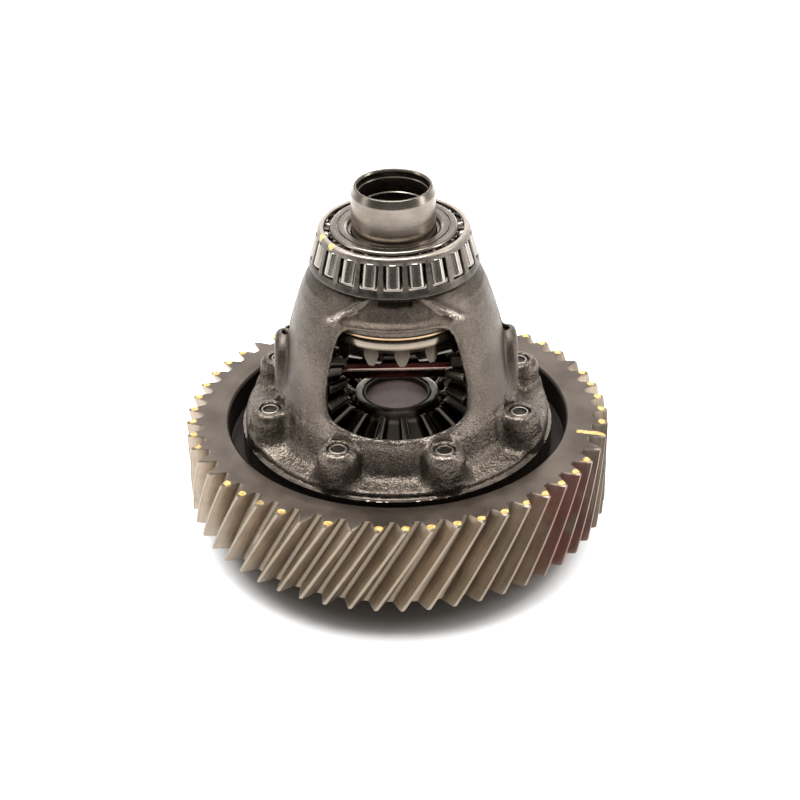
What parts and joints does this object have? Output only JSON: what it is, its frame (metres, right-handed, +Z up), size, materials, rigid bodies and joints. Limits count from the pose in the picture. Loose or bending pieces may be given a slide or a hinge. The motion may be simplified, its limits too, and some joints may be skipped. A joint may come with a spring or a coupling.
{
  "type": "differential gear assembly",
  "caption": "Bevel-gear differential: a windowed cast case with a helical ring gear on its flange, side gears and pinions inside, and a taper roller bearing on each hub.",
  "frame": {"origin": "centre of the lower hub's end face, which the assembly stands on", "axes": "+Z up along the wheel axis, towards the upper hub; +X along the cross shaft; the case windows face -Y and +Y"},
  "size_m": [0.21, 0.21, 0.1845],
  "materials": {
    "cast_iron": "oiled sand-cast iron with bright machined edges",
    "gear_steel": "dull ground and phosphated gear steel",
    "bolt_steel": "dull hardened bolt steel",
    "shaft_steel": "ground steel with a thin brown oil film",
    "pin_steel": "plain spring steel",
    "bevel_steel": "forged and hardened, satin",
    "washer_steel": "satin phosphated",
    "plug_steel": "matt pressed steel",
    "bearing_steel": "finely ground",
    "cage_steel": "pressed steel, satin",
    "roller_steel": "polished rolling surface"
  },
  "bodies": {
    "case_and_ring_gear": {"differential_case": "cast_iron", "ring_gear": "gear_steel", "ring_gear_bolt_1": "bolt_steel", "ring_gear_bolt_2": "bolt_steel", "ring_gear_bolt_3": "bolt_steel", "ring_gear_bolt_4": "bolt_steel", "ring_gear_bolt_5": "bolt_steel", "ring_gear_bolt_6": "bolt_steel", "ring_gear_bolt_7": "bolt_steel", "ring_gear_bolt_8": "bolt_steel", "cross_shaft": "shaft_steel", "cross_shaft_lock_pin": "pin_steel", "bearing_cone_upper": "bearing_steel", "bearing_cone_lower": "bearing_steel", "side_gear_washer_upper": "washer_steel", "side_gear_washer_lower": "washer_steel", "pinion_washer_left": "washer_steel", "pinion_washer_right": "washer_steel"},
    "lower_side_gear": {"side_gear_lower": "bevel_steel", "side_gear_plug_lower": "plug_steel"},
    "upper_side_gear": {"side_gear_upper": "bevel_steel"},
    "pinion_left": {"pinion_left": "bevel_steel"},
    "pinion_right": {"pinion_right": "bevel_steel"},
    "upper_cage": {"bearing_cage_upper": "cage_steel"},
    "lower_cage": {"bearing_cage_lower": "cage_steel", "bearing_rollers_lower": "roller_steel"},
    "upper_roller_01": {"bearing_roller_upper_01": "roller_steel"},
    "upper_roller_02": {"bearing_roller_upper_02": "roller_steel"},
    "upper_roller_03": {"bearing_roller_upper_03": "roller_steel"},
    "upper_roller_04": {"bearing_roller_upper_04": "roller_steel"},
    "upper_roller_05": {"bearing_roller_upper_05": "roller_steel"},
    "upper_roller_06": {"bearing_roller_upper_06": "roller_steel"},
    "upper_roller_07": {"bearing_roller_upper_07": "roller_steel"},
    "upper_roller_08": {"bearing_roller_upper_08": "roller_steel"},
    "upper_roller_09": {"bearing_roller_upper_09": "roller_steel"},
    "upper_roller_10": {"bearing_roller_upper_10": "roller_steel"},
    "upper_roller_11": {"bearing_roller_upper_11": "roller_steel"},
    "upper_roller_12": {"bearing_roller_upper_12": "roller_steel"},
    "upper_roller_13": {"bearing_roller_upper_13": "roller_steel"},
    "upper_roller_14": {"bearing_roller_upper_14": "roller_steel"},
    "upper_roller_15": {"bearing_roller_upper_15": "roller_steel"},
    "upper_roller_16": {"bearing_roller_upper_16": "roller_steel"},
    "upper_roller_17": {"bearing_roller_upper_17": "roller_steel"},
    "upper_roller_18": {"bearing_roller_upper_18": "roller_steel"},
    "upper_roller_19": {"bearing_roller_upper_19": "roller_steel"},
    "upper_roller_20": {"bearing_roller_upper_20": "roller_steel"},
    "upper_roller_21": {"bearing_roller_upper_21": "roller_steel"}
  },
  "joints": [
    {"name": "lower_side_gear_spin", "type": "hinge", "parent": "case_and_ring_gear", "child": "lower_side_gear", "pos_m": [0, 0, 0.0876], "axis": [0, 0, 1], "continuous": true},
    {"name": "upper_side_gear_spin", "type": "hinge", "parent": "case_and_ring_gear", "child": "upper_side_gear", "pos_m": [0, 0, 0.0876], "axis": [0, 0, 1], "continuous": true},
    {"name": "pinion_left_spin", "type": "hinge", "parent": "case_and_ring_gear", "child": "pinion_left", "pos_m": [0, 0, 0.0876], "axis": [1, 0, 0], "continuous": true},
    {"name": "pinion_right_spin", "type": "hinge", "parent": "case_and_ring_gear", "child": "pinion_right", "pos_m": [0, 0, 0.0876], "axis": [1, 0, 0], "continuous": true},
    {"name": "upper_cage_spin", "type": "hinge", "parent": "case_and_ring_gear", "child": "upper_cage", "pos_m": [0, 0, 0.1546], "axis": [0, 0, 1], "continuous": true},
    {"name": "lower_cage_spin", "type": "hinge", "parent": "case_and_ring_gear", "child": "lower_cage", "pos_m": [0, 0, 0.0193], "axis": [0, 0, 1], "continuous": true},
    {"name": "upper_roller_01_spin", "type": "hinge", "parent": "upper_cage", "child": "upper_roller_01", "pos_m": [-0.00078, -0.03429, 0.1546], "axis": [0.0056, 0.2452, 0.9694], "continuous": true},
    {"name": "upper_roller_02_spin", "type": "hinge", "parent": "upper_cage", "child": "upper_roller_02", "pos_m": [0.00936, -0.033, 0.1546], "axis": [-0.067, 0.236, 0.9694], "continuous": true},
    {"name": "upper_roller_03_spin", "type": "hinge", "parent": "upper_cage", "child": "upper_roller_03", "pos_m": [0.01867, -0.02877, 0.1546], "axis": [-0.1336, 0.2058, 0.9694], "continuous": true},
    {"name": "upper_roller_04_spin", "type": "hinge", "parent": "upper_cage", "child": "upper_roller_04", "pos_m": [0.02632, -0.02199, 0.1546], "axis": [-0.1883, 0.1573, 0.9694], "continuous": true},
    {"name": "upper_roller_05_spin", "type": "hinge", "parent": "upper_cage", "child": "upper_roller_05", "pos_m": [0.03164, -0.01325, 0.1546], "axis": [-0.2263, 0.0948, 0.9694], "continuous": true},
    {"name": "upper_roller_06_spin", "type": "hinge", "parent": "upper_cage", "child": "upper_roller_06", "pos_m": [0.03414, -0.00334, 0.1546], "axis": [-0.2441, 0.0239, 0.9694], "continuous": true},
    {"name": "upper_roller_07_spin", "type": "hinge", "parent": "upper_cage", "child": "upper_roller_07", "pos_m": [0.0336, 0.00687, 0.1546], "axis": [-0.2403, -0.0491, 0.9694], "continuous": true},
    {"name": "upper_roller_08_spin", "type": "hinge", "parent": "upper_cage", "child": "upper_roller_08", "pos_m": [0.03009, 0.01647, 0.1546], "axis": [-0.2152, -0.1178, 0.9694], "continuous": true},
    {"name": "upper_roller_09_spin", "type": "hinge", "parent": "upper_cage", "child": "upper_roller_09", "pos_m": [0.02389, 0.02461, 0.1546], "axis": [-0.1709, -0.176, 0.9694], "continuous": true},
    {"name": "upper_roller_10_spin", "type": "hinge", "parent": "upper_cage", "child": "upper_roller_10", "pos_m": [0.01558, 0.03056, 0.1546], "axis": [-0.1114, -0.2185, 0.9694], "continuous": true},
    {"name": "upper_roller_11_spin", "type": "hinge", "parent": "upper_cage", "child": "upper_roller_11", "pos_m": [0.00588, 0.03379, 0.1546], "axis": [-0.0421, -0.2417, 0.9694], "continuous": true},
    {"name": "upper_roller_12_spin", "type": "hinge", "parent": "upper_cage", "child": "upper_roller_12", "pos_m": [-0.00434, 0.03402, 0.1546], "axis": [0.031, -0.2433, 0.9694], "continuous": true},
    {"name": "upper_roller_13_spin", "type": "hinge", "parent": "upper_cage", "child": "upper_roller_13", "pos_m": [-0.01418, 0.03123, 0.1546], "axis": [0.1014, -0.2234, 0.9694], "continuous": true},
    {"name": "upper_roller_14_spin", "type": "hinge", "parent": "upper_cage", "child": "upper_roller_14", "pos_m": [-0.02275, 0.02567, 0.1546], "axis": [0.1627, -0.1836, 0.9694], "continuous": true},
    {"name": "upper_roller_15_spin", "type": "hinge", "parent": "upper_cage", "child": "upper_roller_15", "pos_m": [-0.02931, 0.01782, 0.1546], "axis": [0.2096, -0.1274, 0.9694], "continuous": true},
    {"name": "upper_roller_16_spin", "type": "hinge", "parent": "upper_cage", "child": "upper_roller_16", "pos_m": [-0.03326, 0.00839, 0.1546], "axis": [0.2379, -0.06, 0.9694], "continuous": true},
    {"name": "upper_roller_17_spin", "type": "hinge", "parent": "upper_cage", "child": "upper_roller_17", "pos_m": [-0.03425, -0.00179, 0.1546], "axis": [0.245, 0.0128, 0.9694], "continuous": true},
    {"name": "upper_roller_18_spin", "type": "hinge", "parent": "upper_cage", "child": "upper_roller_18", "pos_m": [-0.03221, -0.0118, 0.1546], "axis": [0.2303, 0.0844, 0.9694], "continuous": true},
    {"name": "upper_roller_19_spin", "type": "hinge", "parent": "upper_cage", "child": "upper_roller_19", "pos_m": [-0.0273, -0.02077, 0.1546], "axis": [0.1952, 0.1486, 0.9694], "continuous": true},
    {"name": "upper_roller_20_spin", "type": "hinge", "parent": "upper_cage", "child": "upper_roller_20", "pos_m": [-0.01996, -0.02789, 0.1546], "axis": [0.1427, 0.1995, 0.9694], "continuous": true},
    {"name": "upper_roller_21_spin", "type": "hinge", "parent": "upper_cage", "child": "upper_roller_21", "pos_m": [-0.01085, -0.03254, 0.1546], "axis": [0.0776, 0.2327, 0.9694], "continuous": true}
  ],
  "couplings": [
    {"joint": "upper_side_gear_spin", "follows": "lower_side_gear_spin", "ratio": -1},
    {"joint": "pinion_right_spin", "follows": "lower_side_gear_spin", "ratio": 1.4545},
    {"joint": "pinion_left_spin", "follows": "lower_side_gear_spin", "ratio": -1.4545},
    {"joint": "upper_roller_01_spin", "follows": "upper_cage_spin", "ratio": 6.7932},
    {"joint": "upper_roller_02_spin", "follows": "upper_cage_spin", "ratio": 6.7932},
    {"joint": "upper_roller_03_spin", "follows": "upper_cage_spin", "ratio": 6.7932},
    {"joint": "upper_roller_04_spin", "follows": "upper_cage_spin", "ratio": 6.7932},
    {"joint": "upper_roller_05_spin", "follows": "upper_cage_spin", "ratio": 6.7932},
    {"joint": "upper_roller_06_spin", "follows": "upper_cage_spin", "ratio": 6.7932},
    {"joint": "upper_roller_07_spin", "follows": "upper_cage_spin", "ratio": 6.7932},
    {"joint": "upper_roller_08_spin", "follows": "upper_cage_spin", "ratio": 6.7932},
    {"joint": "upper_roller_09_spin", "follows": "upper_cage_spin", "ratio": 6.7932},
    {"joint": "upper_roller_10_spin", "follows": "upper_cage_spin", "ratio": 6.7932},
    {"joint": "upper_roller_11_spin", "follows": "upper_cage_spin", "ratio": 6.7932},
    {"joint": "upper_roller_12_spin", "follows": "upper_cage_spin", "ratio": 6.7932},
    {"joint": "upper_roller_13_spin", "follows": "upper_cage_spin", "ratio": 6.7932},
    {"joint": "upper_roller_14_spin", "follows": "upper_cage_spin", "ratio": 6.7932},
    {"joint": "upper_roller_15_spin", "follows": "upper_cage_spin", "ratio": 6.7932},
    {"joint": "upper_roller_16_spin", "follows": "upper_cage_spin", "ratio": 6.7932},
    {"joint": "upper_roller_17_spin", "follows": "upper_cage_spin", "ratio": 6.7932},
    {"joint": "upper_roller_18_spin", "follows": "upper_cage_spin", "ratio": 6.7932},
    {"joint": "upper_roller_19_spin", "follows": "upper_cage_spin", "ratio": 6.7932},
    {"joint": "upper_roller_20_spin", "follows": "upper_cage_spin", "ratio": 6.7932},
    {"joint": "upper_roller_21_spin", "follows": "upper_cage_spin", "ratio": 6.7932}
  ]
}
